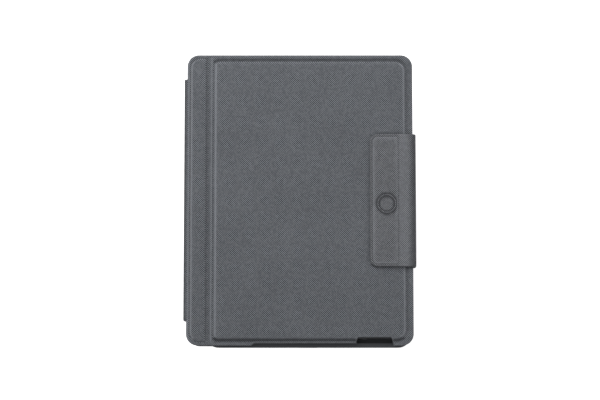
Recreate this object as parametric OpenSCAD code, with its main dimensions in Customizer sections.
// Folio case with a built-in keyboard for a 10-inch class tablet, drawn closed and lying on its back.
// X runs from the spine (-) to the closure tab (+), Y along the spine, Z up through the closed case.

/* [Tablet] */
// Tablet width, across the spine
tablet_w = 174.1; // [140:0.1:220]
// Tablet length, along the spine
tablet_l = 250.6; // [210:0.1:310]
// Tablet thickness
tablet_t = 7.5; // [6:0.1:10]
// Gap between the tablet and the tray
tablet_gap = 0.2; // [0.1:0.1:0.6]

/* [Tray] */
// Tray wall along the long sides
side_wall = 1.75; // [1.5:0.05:3]
// Tray wall along the short ends
end_wall = 2.0; // [1.5:0.05:3]
// Tray floor thickness
tray_floor = 1.5; // [1.2:0.1:2.5]
// Lip thickness over the tablet
lip_t = 1.0; // [0.8:0.1:1.6]
// Lip reach over the tablet's border
lip_reach = 1.6; // [1:0.1:3]
// Tray outer corner radius
tray_r = 11.5; // [8:0.5:16]
// Room between the spine and the tray's edge
spine_room = 16.3; // [15.5:0.1:18]
// Camera window radius
camera_r = 5.3; // [4.5:0.1:7]

/* [Covers] */
// Length of the front and back covers, along the spine
cover_l = 252; // [220:1:310]
// Outer fabric thickness
skin_t = 0.8; // [0.5:0.1:1.2]
// Stiffener board thickness
board_t = 1.0; // [0.6:0.1:1.6]
// Inner lining thickness
lining_t = 0.4; // [0.3:0.1:0.8]
// Cover corner radius
cover_r = 10; // [5:0.5:16]
// Fabric turned in round the boards
hem_w = 2.0; // [1:0.5:4]
// Height of the padding over the flat border
pad_h = 0.7; // [0.4:0.1:1.2]
// Flat border at the padded panel's short ends
pad_border_y = 6; // [3:0.5:12]
// Flat border at the padded panel's outer edge
pad_border_x = 6.9; // [3:0.1:12]
// Padded panel corner radius
pad_r = 8; // [4:0.5:12]

/* [Folds] */
// Thickness of the spine
spine_t = 2.2; // [1.8:0.1:3]
// Length of the spine's fabric
spine_l = 209.4; // [160:0.2:240]
// Distance from the spine fold to the stand fold
stand_w = 33; // [31:0.5:34]
// Half gap at the stand fold
stand_gap = 1.3; // [1:0.1:2]
// Setback of the back panel from the spine fold
fold_setback = 4.4; // [4.2:0.1:5]
// Distance from the spine fold to the cover's crease
crease_x = 20.3; // [18:0.1:24]
// Half gap at the cover's crease
crease_gap = 1.1; // [1:0.1:2]

/* [Dock] */
// Dock rail width
rail_w = 5; // [4:0.2:6]
// Dock rail height
rail_h = 3.1; // [2.5:0.05:3.2]
// Dock rail distance from the spine fold
rail_x = 10.4; // [9.4:0.1:11]
// Dock rail length
rail_l = 200; // [120:1:230]

/* [Keyboard] */
// Gap between the keycaps and the tray's lip
key_gap = 0.6; // [0.4:0.1:1.5]
// Keyboard module thickness
module_t = 5.6; // [5.4:0.1:7]
// Keyboard module length, along the spine
module_l = 240; // [238:1:246]
// Module's rear edge from the spine fold
module_x = 27.5; // [27:0.1:30]
// Key pitch
pitch = 16; // [13.4:0.1:16.1]
// Gap between neighbouring keycaps
key_space = 2.6; // [1.6:0.1:4]
// Depth of the function row
fn_pitch = 10; // [8:0.5:12]
// Key travel
key_travel = 1.2; // [0.6:0.1:1.3]
// Keycap thickness
cap_t = 1.3; // [1:0.1:1.6]
// Trackpad width, along the spine
pad_w = 84; // [60:1:92]
// Trackpad depth
pad_d = 48; // [36:1:50]

/* [Closure tab] */
// Lower end of the tab
tab_y0 = -58.3; // [-70:0.1:-30]
// Upper end of the tab
tab_y1 = 56.4; // [30:0.1:66]
// Reach of the tab over the front cover
tab_reach = 38.7; // [26:0.1:46.4]
// Tab thickness
tab_t = 1.6; // [1.4:0.1:2.2]
// Tab corner radius
tab_r = 6.5; // [3:0.5:12]
// Gap between the tab and the cover
tab_gap = 0.25; // [0.2:0.05:0.6]

/* [Hidden] */
$fn = 64;

// heights of the closed stack
back_t = skin_t + board_t + lining_t;
tray_z = back_t;
pocket_z = tray_z + tray_floor;
pocket_h = tablet_t + tablet_gap;
tray_top = pocket_z + pocket_h + lip_t;
deck_z = tray_top + key_gap;
inner_z = deck_z + module_t;
board_z = inner_z + lining_t;
skin_z = board_z + board_t;
cover_z = skin_z + skin_t;
flap_z = cover_z + pad_h + tab_gap;
fold_lo = 0.6;
fold_hi = cover_z - 0.6;

// places across the case; the spine's outer face and the tab's are the same distance from the middle
tray_w = tablet_w + 2*(tablet_gap + side_wall);
tray_l = tablet_l + 2*(tablet_gap + end_wall);
tab_room = 1.3;
edge_step = 1.2;
half_w = (spine_t + spine_room + tray_w + edge_step + tab_room + tab_t)/2;
hinge_x = -half_w + spine_t/2;
tray_x0 = -half_w + spine_t + spine_room;
tray_x1 = tray_x0 + tray_w;
cover_x1 = tray_x1 + edge_step;
back_x1 = tray_x1 + 0.3;
stand_x = hinge_x + stand_w;
crease = hinge_x + crease_x;
strip_x0 = hinge_x + 1.5;
strip_x1 = crease - crease_gap;
cover_x0 = crease + crease_gap;
pad_x0 = crease + 6.9;
pad_x1 = cover_x1 - pad_border_x;
pad_y = cover_l/2 - pad_border_y;
strip_pad_x0 = strip_x0 + 2.4;
strip_pad_x1 = strip_x1 - 1.3;
cam_x = tray_x1 - 12.2;
cam_y = min(tray_l/2 - 15.5, cover_l/2 - 14);

// notch over the switch and charging port, and the shallower cut in the border beside it
notch_x0 = cover_x1 - 49.1;
notch_x1 = cover_x1 - 17.4;
notch_d = 7.1;
cut_x0 = notch_x0 - 89;
cut_d = 2;

// keyboard
mod_x0 = hinge_x + module_x;
mod_x1 = pad_x1;
wall_t = 1.5;
plate_t = 1.0;
deck_plate_z = deck_z + 0.6;
shell_z = deck_plate_z + plate_t;
base_t = 0.6;
base_z = inner_z - base_t;
key_x0 = mod_x0 + 6.2;
row_x = [for (i = [0:5]) i == 0 ? key_x0 : key_x0 + fn_pitch + (i - 1)*pitch];
keys_x1 = key_x0 + fn_pitch + 5*pitch;
row_l = 14.5*pitch;
clear = 0.4;
palm_x0 = keys_x1 + 1.5;
pad_cx = (palm_x0 + mod_x1)/2;
stem_h = 0.7;
sheet_z = deck_z + cap_t + stem_h + key_travel + 0.1;
port_x = notch_x0 + 22;
switch_x = notch_x0 + 5;

// key widths in units, from the user's left
FN = [for (i = [0:13]) 14.5/14];
NUM = [1, 1, 1, 1, 1, 1, 1, 1, 1, 1, 1, 1, 1, 1.5];
UPPER = [1.5, 1, 1, 1, 1, 1, 1, 1, 1, 1, 1, 1, 1, 1];
HOME = [1.75, 1, 1, 1, 1, 1, 1, 1, 1, 1, 1, 1, 1.75];
LOWER = [2.25, 1, 1, 1, 1, 1, 1, 1, 1, 1, 1, 2.25];
MODS = [1, 1, 1, 1.25];
SPACE_AT = 4.25;
SPACE_W = 5;
MODS2 = [1.25, 1];
ARROWS_AT = 11.5;

function before(v, i) = i <= 0 ? 0 : v[i - 1] + before(v, i - 1);

// outline with its own radius at each corner: low-left, low-right, high-right, high-left
module plan(x0, x1, y0, y1, r) {
  pts = concat(
    r[0] > 0 ? [[x0, y0 + r[0]], [x0 + r[0], y0]] : [[x0, y0]],
    r[1] > 0 ? [[x1 - r[1], y0], [x1, y0 + r[1]]] : [[x1, y0]],
    r[2] > 0 ? [[x1, y1 - r[2]], [x1 - r[2], y1]] : [[x1, y1]],
    r[3] > 0 ? [[x0 + r[3], y1], [x0, y1 - r[3]]] : [[x0, y1]]);
  union() {
    polygon(pts);
    if (r[0] > 0) quarter(x0, y0, x0 + r[0], y0 + r[0], r[0]);
    if (r[1] > 0) quarter(x1 - r[1], y0, x1 - r[1], y0 + r[1], r[1]);
    if (r[2] > 0) quarter(x1 - r[2], y1 - r[2], x1 - r[2], y1 - r[2], r[2]);
    if (r[3] > 0) quarter(x0, y1 - r[3], x0 + r[3], y1 - r[3], r[3]);
  }
}
// the part of a corner's circle, centred at cx, cy, inside the corner's own square at qx, qy
module quarter(qx, qy, cx, cy, r) {
  intersection() {
    translate([cx, cy]) circle(r);
    translate([qx, qy]) square([r, r]);
  }
}
module slab(x0, x1, y0, y1, z0, z1, r) {
  translate([0, 0, z0]) linear_extrude(z1 - z0) plan(x0, x1, y0, y1, r);
}
module block(x0, x1, y0, y1, z0, z1) {
  translate([x0, y0, z0]) cube([x1 - x0, y1 - y0, z1 - z0]);
}
// a key-shaped block for one key of a row; grow enlarges it into its opening
module key_plan(row, at, w, grow, depth = 0, shift = 0) {
  d = depth > 0 ? depth : (row == 0 ? fn_pitch : pitch);
  x0 = row_x[row] + shift + key_space/2 - grow;
  x1 = row_x[row] + shift + d - key_space/2 + grow;
  y1 = row_l/2 - at*pitch - key_space/2 + grow;
  y0 = row_l/2 - (at + w)*pitch + key_space/2 - grow;
  r = min(1.2 + grow, (x1 - x0)/2 - 0.05);
  plan(x0, x1, y0, y1, [r, r, r, r]);
}
module row_plan(row, v, start, grow) {
  for (i = [0:len(v) - 1]) key_plan(row, start + before(v, i), v[i], grow);
}
module arrow_plan(grow) {
  key_plan(5, ARROWS_AT, 1, grow);
  key_plan(5, ARROWS_AT + 2, 1, grow);
  key_plan(5, ARROWS_AT + 1, 1, min(grow, 0.25), pitch/2 + key_space/4, 0);
  key_plan(5, ARROWS_AT + 1, 1, min(grow, 0.25), pitch/2 + key_space/4, pitch/2 - key_space/4);
}
module caps() { translate([0, 0, deck_z]) linear_extrude(cap_t) children(); }
module stem(row, at, w, depth = 0, shift = 0) {
  d = depth > 0 ? depth : (row == 0 ? fn_pitch : pitch);
  translate([row_x[row] + shift + d/2, row_l/2 - (at + w/2)*pitch, deck_z + cap_t])
    cylinder(h = stem_h, r = min(2.2, d/2 - key_space/2 - 0.6));
}
module stems(row, v, start) {
  for (i = [0:len(v) - 1]) stem(row, start + before(v, i), v[i]);
}

// a fabric-covered panel: fabric outside with its hem round the board, and a flat lining inside
module hem_skin(x0, x1, y, z0, z1, face, r, inset) {
  difference() {
    slab(x0, x1, -y, y, z0, z1, r);
    slab(x0 + inset, x1 - inset, -y + inset, y - inset, face > 0 ? z0 - 1 : z0 + skin_t,
      face > 0 ? z1 - skin_t : z1 + 1, [for (q = r) max(q - inset, 0)]);
  }
}

// ---- spine ----
module spine_skin() {
  color("#5f6367") block(-half_w, -half_w + skin_t, -spine_l/2, spine_l/2, 1.2, cover_z - 1.2);
}
module spine_board() {
  color("#8b8478") block(-half_w + skin_t, -half_w + spine_t - lining_t, -spine_l/2 + hem_w,
    spine_l/2 - hem_w, 3, cover_z - 2.9);
}
module spine_lining() {
  color("#3c3f42") block(-half_w + spine_t - lining_t, -half_w + spine_t, -spine_l/2, spine_l/2,
    3, cover_z - 2.9);
}

// ---- back, spine side: slightly thinner so that it folds away under the tray ----
lower_x0 = hinge_x + fold_setback;
lower_x1 = stand_x - stand_gap;
lower_t = back_t - 0.3;
lower_r = [8, 0, 0, 8];
module back_lower_skin() {
  color("#5f6367") difference() {
    slab(lower_x0, lower_x1, -cover_l/2, cover_l/2, 0, lower_t - lining_t, lower_r);
    slab(lower_x0 + hem_w, lower_x1 - hem_w, -cover_l/2 + hem_w, cover_l/2 - hem_w,
      skin_t - 0.1, lower_t, [6, 0, 0, 6]);
  }
}
module back_lower_board() {
  color("#8b8478") slab(lower_x0 + hem_w, lower_x1 - hem_w, -cover_l/2 + hem_w, cover_l/2 - hem_w,
    skin_t - 0.1, lower_t - lining_t, [6, 0, 0, 6]);
}
module back_lower_lining() {
  color("#3c3f42") slab(lower_x0, lower_x1, -cover_l/2, cover_l/2, lower_t - lining_t, lower_t, lower_r);
}

// ---- back, tray side ----
upper_x0 = stand_x + stand_gap;
upper_r = [0, cover_r, cover_r, 0];
cam_hole_r = camera_r + 1.6;
module camera_hole(z0, z1) { translate([cam_x, cam_y, z0]) cylinder(h = z1 - z0, r = cam_hole_r); }
module back_upper_skin() {
  color("#5f6367") difference() {
    hem_skin(upper_x0, back_x1, cover_l/2, 0, skin_t + board_t, -1, upper_r, hem_w);
    camera_hole(-1, back_t);
  }
}
module back_upper_board() {
  color("#8b8478") difference() {
    slab(upper_x0 + hem_w, back_x1 - hem_w, -cover_l/2 + hem_w, cover_l/2 - hem_w, skin_t,
      skin_t + board_t, [0, cover_r - hem_w, cover_r - hem_w, 0]);
    camera_hole(-1, back_t);
  }
}
module back_upper_lining() {
  color("#3c3f42") difference() {
    slab(upper_x0, back_x1, -cover_l/2, cover_l/2, skin_t + board_t, back_t, upper_r);
    camera_hole(-1, back_t + 1);
  }
}
module camera_ring() {
  color("#202224") difference() {
    translate([cam_x, cam_y, 0]) cylinder(h = pocket_z, r = cam_hole_r);
    translate([cam_x, cam_y, -1]) cylinder(h = pocket_z + 2, r = camera_r);
  }
}

// ---- tray: floor, walls and a lip that snaps over the tablet ----
btn_t = 1.85;
btn_play = 0.4;
vol_y = [tray_l/2 - 41, tray_l/2 - 53.5];
vol_l = 10.5;
btn_z0 = pocket_z + 2.4;
btn_z1 = pocket_z + 5.4;
pow_x = tray_x1 - 27;
mid_x = (tray_x0 + tray_x1)/2;
module tray_floor_plate() {
  color("#26282a") difference() {
    slab(tray_x0, tray_x1, -tray_l/2, tray_l/2, tray_z, pocket_z, [tray_r, tray_r, tray_r, tray_r]);
    camera_hole(tray_z - 1, pocket_z + 1);
    // shallow seat for the keeper strip under the docking edge
    block(tray_x0 + 1, tray_x0 + 6.2, -95.2, 95.2, tray_z - 1, tray_z + 0.6);
  }
}
module tray_rim() {
  px0 = tray_x0 + side_wall;
  px1 = tray_x1 - side_wall;
  py = tray_l/2 - end_wall;
  pr = tray_r - 2;
  color("#26282a") difference() {
    slab(tray_x0, tray_x1, -tray_l/2, tray_l/2, pocket_z, tray_top, [tray_r, tray_r, tray_r, tray_r]);
    slab(px0, px1, -py, py, pocket_z - 1, pocket_z + pocket_h, [pr, pr, pr, pr]);
    slab(px0 + lip_reach, px1 - lip_reach, -py + lip_reach, py - lip_reach, pocket_z + pocket_h - 1,
      tray_top + 1, [pr - 1.5, pr - 1.5, pr - 1.5, pr - 1.5]);
    // windows for the side button covers
    for (y = vol_y) block(px1 - 1, tray_x1 + 1, y - vol_l/2 - btn_play, y + vol_l/2 + btn_play,
      btn_z0 - btn_play, btn_z1 + btn_play);
    block(pow_x - 7 - btn_play, pow_x + 7 + btn_play, py - 1, tray_l/2 + 1, btn_z0 - btn_play,
      btn_z1 + btn_play);
    // charging window, headphone hole, speaker slots
    block(mid_x - 7.2, mid_x + 7.2, -tray_l/2 - 1, -py + 1, pocket_z + 1.2, pocket_z + 6.4);
    translate([tray_x0 + 15, py - 1, pocket_z + 3.8]) rotate([-90, 0, 0]) cylinder(h = end_wall + 2, r = 3.2);
    for (s = [-1, 1], i = [0:5]) block(mid_x + s*(20 + 3.4*i) - 0.9, mid_x + s*(20 + 3.4*i) + 0.9,
      -tray_l/2 - 1, -py + 1, pocket_z + 2.3, pocket_z + 5.3);
  }
}
module tray_keeper() {
  color("#b9bdc1") block(tray_x0 + 1.1, tray_x0 + 6.1, -95, 95, tray_z + 0.1, tray_z + 0.6);
}
module volume_cover(y) {
  block(tray_x1 - side_wall + 0.5, tray_x1 + 0.6, y - vol_l/2, y + vol_l/2, btn_z0, btn_z1);
}
module volume_up_cover() { color("#2b2d30") volume_cover(vol_y[0]); }
module volume_down_cover() { color("#2b2d30") volume_cover(vol_y[1]); }
module power_button_cover() {
  color("#2b2d30") block(pow_x - 7, pow_x + 7, tray_l/2 - end_wall + 0.5, tray_l/2, btn_z0, btn_z1);
}

// ---- front cover, spine side: narrow padded strip with the dock rail inside ----
strip_r = [cover_r, 0, 0, cover_r];
module strip_skin() {
  color("#5f6367") difference() {
    union() {
      slab(strip_x0, strip_x1, -cover_l/2, cover_l/2, board_z, cover_z, strip_r);
      slab(strip_pad_x0, strip_pad_x1, -cover_l/2 + 3.2, cover_l/2 - 3.2, cover_z - 0.1, cover_z + pad_h,
        [pad_r, 1, 1, pad_r]);
    }
    slab(strip_x0 + hem_w, strip_x1 - hem_w, -cover_l/2 + hem_w, cover_l/2 - hem_w, board_z - 1, skin_z,
      [cover_r - hem_w, 0, 0, cover_r - hem_w]);
    slab(strip_pad_x0 + skin_t, strip_pad_x1 - skin_t, -cover_l/2 + 3.2 + skin_t, cover_l/2 - 3.2 - skin_t,
      skin_z - 0.1, skin_z + pad_h, [pad_r - skin_t, 0, 0, pad_r - skin_t]);
  }
}
module strip_foam() {
  color("#d8d4c6") slab(strip_pad_x0 + skin_t, strip_pad_x1 - skin_t, -cover_l/2 + 3.2 + skin_t,
    cover_l/2 - 3.2 - skin_t, skin_z, skin_z + pad_h, [pad_r - skin_t, 0, 0, pad_r - skin_t]);
}
module strip_board() {
  color("#8b8478") slab(strip_x0 + hem_w, strip_x1 - hem_w, -cover_l/2 + hem_w, cover_l/2 - hem_w,
    board_z, skin_z, [cover_r - hem_w, 0, 0, cover_r - hem_w]);
}
module strip_lining() {
  color("#3c3f42") slab(strip_x0, strip_x1, -cover_l/2, cover_l/2, inner_z, board_z, strip_r);
}
rail_x0 = hinge_x + rail_x;
mag_y = [-84, -60, -36, -12, 12, 36, 60, 84];
module dock_rail() {
  color("#232527") difference() {
    slab(rail_x0, rail_x0 + rail_w, -rail_l/2, rail_l/2, inner_z - rail_h, inner_z, [1, 1, 1, 1]);
    for (y = mag_y) if (abs(y) + 10 < rail_l/2)
      block(rail_x0 + 1, rail_x0 + rail_w - 1, y - 9, y + 9, inner_z - 2, inner_z + 1);
  }
}
module dock_magnets() {
  color("#c9ccd0") for (y = mag_y) if (abs(y) + 10 < rail_l/2)
    block(rail_x0 + 1, rail_x0 + rail_w - 1, y - 9, y + 9, inner_z - 2, inner_z - 0.1);
}

// ---- front cover, keyboard side ----
panel_r = [0, cover_r, cover_r, 0];
module notch_cuts() {
  y0 = -cover_l/2;
  translate([0, 0, inner_z - 1]) linear_extrude(cover_z - inner_z + pad_h + 2) polygon([
    [notch_x0 - 0.4, y0 - 1], [notch_x0, y0 + cut_d], [notch_x0 + 1.2, y0 + notch_d],
    [notch_x1 - 1.6, y0 + notch_d], [notch_x1, y0 + cut_d], [notch_x1 + 0.4, y0 - 1]]);
  translate([0, 0, inner_z - 1]) linear_extrude(cover_z - inner_z + pad_h + 2) polygon([
    [cut_x0 - 1, y0 - 1], [cut_x0 + 1.5, y0 + cut_d], [notch_x1, y0 + cut_d], [notch_x1 + 0.3, y0 - 1]]);
}
module notch_board_cut() {
  block(notch_x0 - hem_w, notch_x1 + hem_w, -cover_l/2 - 1, -cover_l/2 + notch_d + hem_w, inner_z - 1, cover_z);
  block(cut_x0 - hem_w, notch_x1, -cover_l/2 - 1, -cover_l/2 + cut_d + hem_w, inner_z - 1, cover_z);
}
foam_y = pad_y - skin_t;
foam_r = pad_r - skin_t;
module cover_skin() {
  color("#5f6367") difference() {
    union() {
      slab(cover_x0, cover_x1, -cover_l/2, cover_l/2, board_z, cover_z, panel_r);
      slab(pad_x0, pad_x1, -pad_y, pad_y, cover_z - 0.1, cover_z + pad_h, [3, pad_r, pad_r, 3]);
    }
    difference() {
      slab(cover_x0 + hem_w, cover_x1 - hem_w, -cover_l/2 + hem_w, cover_l/2 - hem_w, board_z - 1, skin_z,
        [0, cover_r - hem_w, cover_r - hem_w, 0]);
      notch_board_cut();
    }
    difference() {
      slab(pad_x0 + skin_t, pad_x1 - skin_t, -foam_y, foam_y, skin_z - 0.1, skin_z + pad_h,
        [2.2, foam_r, foam_r, 2.2]);
      notch_board_cut_high();
    }
    notch_cuts();
  }
}
module notch_board_cut_high() {
  block(notch_x0 - hem_w, notch_x1 + hem_w, -cover_l/2 - 1, -cover_l/2 + notch_d + hem_w, inner_z - 1, cover_z + 3);
}
module cover_foam() {
  color("#d8d4c6") difference() {
    slab(pad_x0 + skin_t, pad_x1 - skin_t, -foam_y, foam_y, skin_z, skin_z + pad_h, [2.2, foam_r, foam_r, 2.2]);
    notch_board_cut_high();
  }
}
keep_x0 = pad_x1 - 26;
module cover_board() {
  color("#8b8478") difference() {
    slab(cover_x0 + hem_w, cover_x1 - hem_w, -cover_l/2 + hem_w, cover_l/2 - hem_w, board_z, skin_z,
      [0, cover_r - hem_w, cover_r - hem_w, 0]);
    notch_board_cut();
    block(keep_x0, keep_x0 + 22, tab_y0 + 10, tab_y1 - 10, skin_z - 0.4, skin_z + 1);
  }
}
module cover_lining() {
  color("#3c3f42") difference() {
    slab(cover_x0, cover_x1, -cover_l/2, cover_l/2, inner_z, board_z, panel_r);
    notch_cuts();
  }
}
module keeper_plate() {
  color("#b9bdc1") block(keep_x0, keep_x0 + 22, tab_y0 + 10, tab_y1 - 10, skin_z - 0.4, skin_z);
}

// ---- keyboard module ----
mod_y = module_l/2;
in_x0 = mod_x0 + wall_t;
in_x1 = mod_x1 - wall_t;
in_y = mod_y - wall_t;
boss_x = [in_x0 + 1.7, palm_x0 + 1.9, in_x1 - 1.7];
boss_y = in_y - 1.7;
tp_x0 = pad_cx - pad_d/2;
tp_x1 = pad_cx + pad_d/2;
led_y = -mod_y + 16;
module all_keys(grow) {
  row_plan(0, FN, 0, grow);
  row_plan(1, NUM, 0, grow);
  row_plan(2, UPPER, 0, grow);
  row_plan(3, HOME, 0, grow);
  row_plan(4, LOWER, 0, grow);
  row_plan(5, MODS, 0, grow);
  key_plan(5, SPACE_AT, SPACE_W, grow);
  row_plan(5, MODS2, SPACE_AT + SPACE_W, grow);
  arrow_plan(grow);
}
module keyboard_deck() {
  color("#2a2c2f") difference() {
    union() {
      translate([0, 0, deck_plate_z]) linear_extrude(plate_t) difference() {
        plan(mod_x0, mod_x1, -mod_y, mod_y, [4, 4, 4, 4]);
        all_keys(clear);
        plan(tp_x0 - clear, tp_x1 + clear, -pad_w/2 - clear, pad_w/2 + clear, [2, 2, 2, 2]);
        translate([mod_x0 + 3.1, led_y]) circle(0.9);
      }
      difference() {
        slab(mod_x0, mod_x1, -mod_y, mod_y, shell_z, inner_z, [4, 4, 4, 4]);
        slab(in_x0, in_x1, -in_y, in_y, shell_z - 1, inner_z + 1, [2.5, 2.5, 2.5, 2.5]);
      }
      for (x = boss_x, s = [-1, 1]) block(x - 1.7, x + 1.7, s > 0 ? boss_y - 1.7 : -in_y - 0.2,
        s > 0 ? in_y + 0.2 : -boss_y + 1.7, shell_z, base_z);
    }
    for (x = boss_x, s = [-1, 1]) translate([x, s*boss_y, shell_z + 0.4]) cylinder(h = 6, r = 0.8);
    block(switch_x - 0.5, switch_x + 7.5, -mod_y - 1, -in_y + 1, shell_z + 0.5, shell_z + 2.5);
    block(port_x - 3.9, port_x + 3.9, -mod_y - 1, -in_y + 1, shell_z + 0.3, shell_z + 3.1);
  }
}
module keyboard_base() {
  color("#8e9296") difference() {
    slab(in_x0 + 0.1, in_x1 - 0.1, -in_y + 0.1, in_y - 0.1, base_z, inner_z, [2.4, 2.4, 2.4, 2.4]);
    for (x = boss_x, s = [-1, 1]) translate([x, s*boss_y, base_z - 1]) cylinder(h = 3, r = 1.3);
  }
}
module deck_screws() {
  color("#c4c7ca") for (x = boss_x, s = [-1, 1]) translate([x, s*boss_y, 0]) {
    translate([0, 0, shell_z + 0.6]) cylinder(h = base_z - shell_z - 0.6, r = 0.8);
    difference() {
      translate([0, 0, base_z]) cylinder(h = 0.5, r = 1.25);
      translate([-0.9, -0.2, base_z + 0.25]) cube([1.8, 0.4, 1]);
      translate([-0.2, -0.9, base_z + 0.25]) cube([0.4, 1.8, 1]);
    }
  }
}
sheet_x0 = in_x0 + 4.0;
sheet_y = in_y - 1.5;
module dome_at(row, at, w) {
  translate([row_x[row] + (row == 0 ? fn_pitch : pitch)/2, row_l/2 - (at + w/2)*pitch, sheet_z - 0.05])
    cylinder(h = 0.15, r = 2.6);
}
module dome_sheet() {
  color("#d9dadb") union() {
    block(sheet_x0, keys_x1, -sheet_y, sheet_y, sheet_z, sheet_z + 0.4);
    for (i = [0:len(NUM) - 1]) dome_at(1, before(NUM, i), NUM[i]);
    for (i = [0:len(UPPER) - 1]) dome_at(2, before(UPPER, i), UPPER[i]);
    for (i = [0:len(HOME) - 1]) dome_at(3, before(HOME, i), HOME[i]);
    for (i = [0:len(LOWER) - 1]) dome_at(4, before(LOWER, i), LOWER[i]);
  }
}
module membrane() {
  color("#b7c9b0") block(sheet_x0, keys_x1, -sheet_y, sheet_y, sheet_z + 0.4, sheet_z + 0.6);
}
module support_plate() {
  color("#9a9ea2") block(sheet_x0 - 0.3, keys_x1 + 0.4, -sheet_y, sheet_y, sheet_z + 0.6, sheet_z + 1.0);
}
cell_y0 = pad_w/2 + 6;
cell_y1 = in_y - 6;
module battery_cells() {
  color("#3b6ea5") for (s = [-1, 1]) slab(tp_x0 + 2, tp_x1 - 2, s > 0 ? cell_y0 : -cell_y1,
    s > 0 ? cell_y1 : -cell_y0, shell_z + 0.2, base_z - 0.4, [1.5, 1.5, 1.5, 1.5]);
}
brd_z = base_z - 1.0;
module circuit_board() {
  color("#2f6b45") union() {
    block(tp_x0 + 1, tp_x1 - 1, -pad_w/2 + 4, pad_w/2 - 2, brd_z, brd_z + 0.8);
    block(tp_x0 + 8, tp_x0 + 15, -8, -1, brd_z - 0.7, brd_z);
    block(tp_x0 + 8, tp_x0 + 12, 6, 12, brd_z - 0.6, brd_z);
    block(tp_x0 + 20, tp_x0 + 24, -22, -16, brd_z - 0.6, brd_z);
  }
}
module trackpad_switch() {
  color("#d2d4d6") translate([tp_x1 - 10, 0, shell_z + 0.3]) union() {
    cylinder(h = 0.3, r = 1.4);
    translate([-2.5, -2.5, 0.3]) cube([5, 5, brd_z - shell_z - 0.6]);
  }
}
module trackpad() {
  color("#3a3d41") union() {
    slab(tp_x0, tp_x1, -pad_w/2, pad_w/2, deck_z + 0.4, deck_z + 1.2, [1.6, 1.6, 1.6, 1.6]);
    translate([tp_x1 - 10, 0, deck_z + 1.2]) cylinder(h = 0.2, r = 1.5);
  }
}
module charging_port() {
  z0 = shell_z + 0.3;
  color("#aeb2b6") difference() {
    block(port_x - 3.8, port_x + 3.8, -mod_y + 0.1, -mod_y + 7, z0 + 0.1, z0 + 2.7);
    block(port_x - 3.4, port_x + 3.4, -mod_y - 1, -mod_y + 6, z0 + 0.5, z0 + 2.3);
  }
}
module power_switch() {
  color("#d7d9da") union() {
    block(switch_x, switch_x + 4, -mod_y - 0.6, -in_y + 0.3, shell_z + 0.7, shell_z + 2.3);
    block(switch_x + 1, switch_x + 3, -in_y + 0.3, -in_y + 2, shell_z + 0.7, shell_z + 2.3);
  }
}
module status_led() {
  color("#e9f2ea") translate([mod_x0 + 3.1, led_y, deck_plate_z]) cylinder(h = plate_t + 0.6, r = 0.85);
}
module rubber_bumpers() {
  color("#1d1e20") for (x = [mod_x0 + 3.1, mod_x1 - 4], s = [-1, 1])
    translate([x, s*(mod_y - (x > 0 ? 4 : 6)), deck_z]) cylinder(h = 0.6, r = x > 0 ? 2.4 : 2);
}

// ---- keys, one node for each row ----
module function_keys() { color("#1f2123") union() { caps() row_plan(0, FN, 0, 0); stems(0, FN, 0); } }
module number_keys() { color("#1f2123") union() { caps() row_plan(1, NUM, 0, 0); stems(1, NUM, 0); } }
module upper_keys() { color("#1f2123") union() { caps() row_plan(2, UPPER, 0, 0); stems(2, UPPER, 0); } }
module home_keys() { color("#1f2123") union() { caps() row_plan(3, HOME, 0, 0); stems(3, HOME, 0); } }
module lower_keys() { color("#1f2123") union() { caps() row_plan(4, LOWER, 0, 0); stems(4, LOWER, 0); } }
module modifier_keys() {
  color("#1f2123") union() {
    caps() row_plan(5, MODS, 0, 0);
    caps() row_plan(5, MODS2, SPACE_AT + SPACE_W, 0);
    stems(5, MODS, 0);
    stems(5, MODS2, SPACE_AT + SPACE_W);
  }
}
module arrow_keys() {
  color("#1f2123") union() {
    caps() arrow_plan(0);
    stem(5, ARROWS_AT, 1);
    stem(5, ARROWS_AT + 2, 1);
    stem(5, ARROWS_AT + 1, 1, pitch/2, 0);
    stem(5, ARROWS_AT + 1, 1, pitch/2, pitch/2);
  }
}
module space_bar() {
  color("#1f2123") union() {
    caps() key_plan(5, SPACE_AT, SPACE_W, 0);
    stem(5, SPACE_AT, 1.4);
    stem(5, SPACE_AT + SPACE_W - 1.4, 1.4);
    stem(5, SPACE_AT, SPACE_W);
  }
}

// ---- closure tab: root on the back, side band, flap over the front cover ----
side_x0 = half_w - tab_t;
root_z = 1.1;
flap_t = tab_t + 0.05;
fold_z = flap_z + 0.85;
flap_x1 = half_w - 1.1 - 1.2;
flap_x0 = half_w - 1.1 - tab_reach;
ring_x = flap_x0 + 14.3;
ring_y = (tab_y0 + tab_y1)/2 - 3;
module tab_root() {
  color("#626568") block(back_x1, side_x0 - 0.9, tab_y0, tab_y1, 0, skin_t + board_t);
}
module tab_side_skin() {
  color("#626568") difference() {
    block(side_x0 + 0.3, half_w, tab_y0, tab_y1, root_z + 1, fold_z - 1.3);
    block(side_x0, half_w - skin_t, tab_y0 + 3, tab_y1 - 3, root_z + 3, fold_z - 3.3);
  }
}
module tab_side_stiffener() {
  color("#8b8478") block(side_x0 + 0.3, half_w - skin_t, tab_y0 + 3, tab_y1 - 3, root_z + 3, fold_z - 3.3);
}
module tab_side_lining() {
  color("#3c3f42") block(side_x0, side_x0 + 0.3, tab_y0, tab_y1, root_z + 1, fold_z - 1.3);
}
flap_r = [tab_r, 0, 0, tab_r];
board_r = [tab_r - 3, 0, 0, tab_r - 3];
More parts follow.
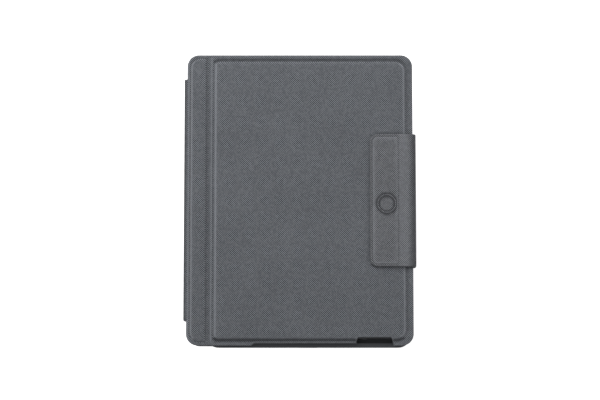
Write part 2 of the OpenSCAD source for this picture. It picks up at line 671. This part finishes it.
module tab_flap_skin() {
  color("#626568") difference() {
    slab(flap_x0, flap_x1, tab_y0, tab_y1, flap_z + lining_t, flap_z + flap_t, flap_r);
    slab(flap_x0 + 3, flap_x1 - 3, tab_y0 + 3, tab_y1 - 3, flap_z, flap_z + lining_t + 0.6, board_r);
    translate([ring_x, ring_y, flap_z + flap_t - 0.25]) difference() {
      cylinder(h = 1, r = 8.2);
      translate([0, 0, -1]) cylinder(h = 3, r = 7.2);
    }
  }
}
tab_mag = [for (y = [tab_y0 + 20, tab_y0 + 40, tab_y1 - 40, tab_y1 - 20]) [keep_x0 + 10, y]];
module tab_flap_board() {
  color("#8b8478") difference() {
    slab(flap_x0 + 3, flap_x1 - 3, tab_y0 + 3, tab_y1 - 3, flap_z + lining_t, flap_z + lining_t + 0.6, board_r);
    for (p = tab_mag) translate([p[0], p[1], flap_z]) cylinder(h = 3, r = 5);
  }
}
module tab_magnets() {
  color("#c9ccd0") for (p = tab_mag) translate([p[0], p[1], flap_z + lining_t]) cylinder(h = 0.6, r = 4.9);
}
module tab_flap_lining() {
  color("#3c3f42") slab(flap_x0, flap_x1, tab_y0, tab_y1, flap_z, flap_z + lining_t, flap_r);
}

spine_skin();
spine_board();
spine_lining();
back_lower_skin();
back_lower_board();
back_lower_lining();
back_upper_skin();
back_upper_board();
back_upper_lining();
camera_ring();
tray_floor_plate();
tray_rim();
tray_keeper();
tab_root();
volume_up_cover();
volume_down_cover();
power_button_cover();
strip_skin();
strip_foam();
strip_board();
strip_lining();
dock_rail();
dock_magnets();
cover_skin();
cover_foam();
cover_board();
cover_lining();
keeper_plate();
keyboard_base();
keyboard_deck();
dome_sheet();
membrane();
support_plate();
battery_cells();
circuit_board();
trackpad_switch();
charging_port();
status_led();
deck_screws();
rubber_bumpers();
function_keys();
number_keys();
upper_keys();
home_keys();
lower_keys();
modifier_keys();
arrow_keys();
space_bar();
trackpad();
power_switch();
tab_side_skin();
tab_side_stiffener();
tab_side_lining();
tab_flap_skin();
tab_flap_board();
tab_flap_lining();
tab_magnets();
